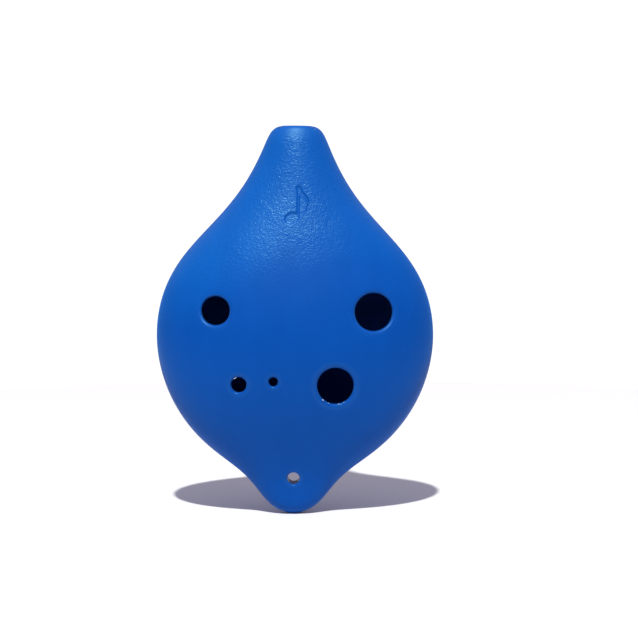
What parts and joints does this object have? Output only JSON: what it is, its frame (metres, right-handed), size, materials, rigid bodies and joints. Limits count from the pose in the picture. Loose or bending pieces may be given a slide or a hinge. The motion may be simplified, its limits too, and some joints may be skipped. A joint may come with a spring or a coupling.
{
  "type": "ocarina",
  "caption": "Pendant ocarina in moulded plastic: drop-shaped hollow body with finger, thumb and sub holes, a sound window, a windway insert at the mouth and a strap hole in the tail.",
  "frame": {"origin": "tip of the tail, at the centre of the bottom of the bounding box, in the parting plane of the two shells", "axes": "+Z from the tail to the mouthpiece, +Y from the finger-hole face to the thumb-hole face, +X to the right for a person looking at the finger holes"},
  "size_m": [0.0856, 0.04, 0.12],
  "materials": {
    "shell_plastic": "blue ABS with a fine spark-eroded grain and a low sheen",
    "insert_plastic": "blue ABS, smoother than the shells"
  },
  "bodies": {
    "root": {"front_shell": "shell_plastic", "back_shell": "shell_plastic", "windway_block": "insert_plastic"}
  },
  "joints": []
}
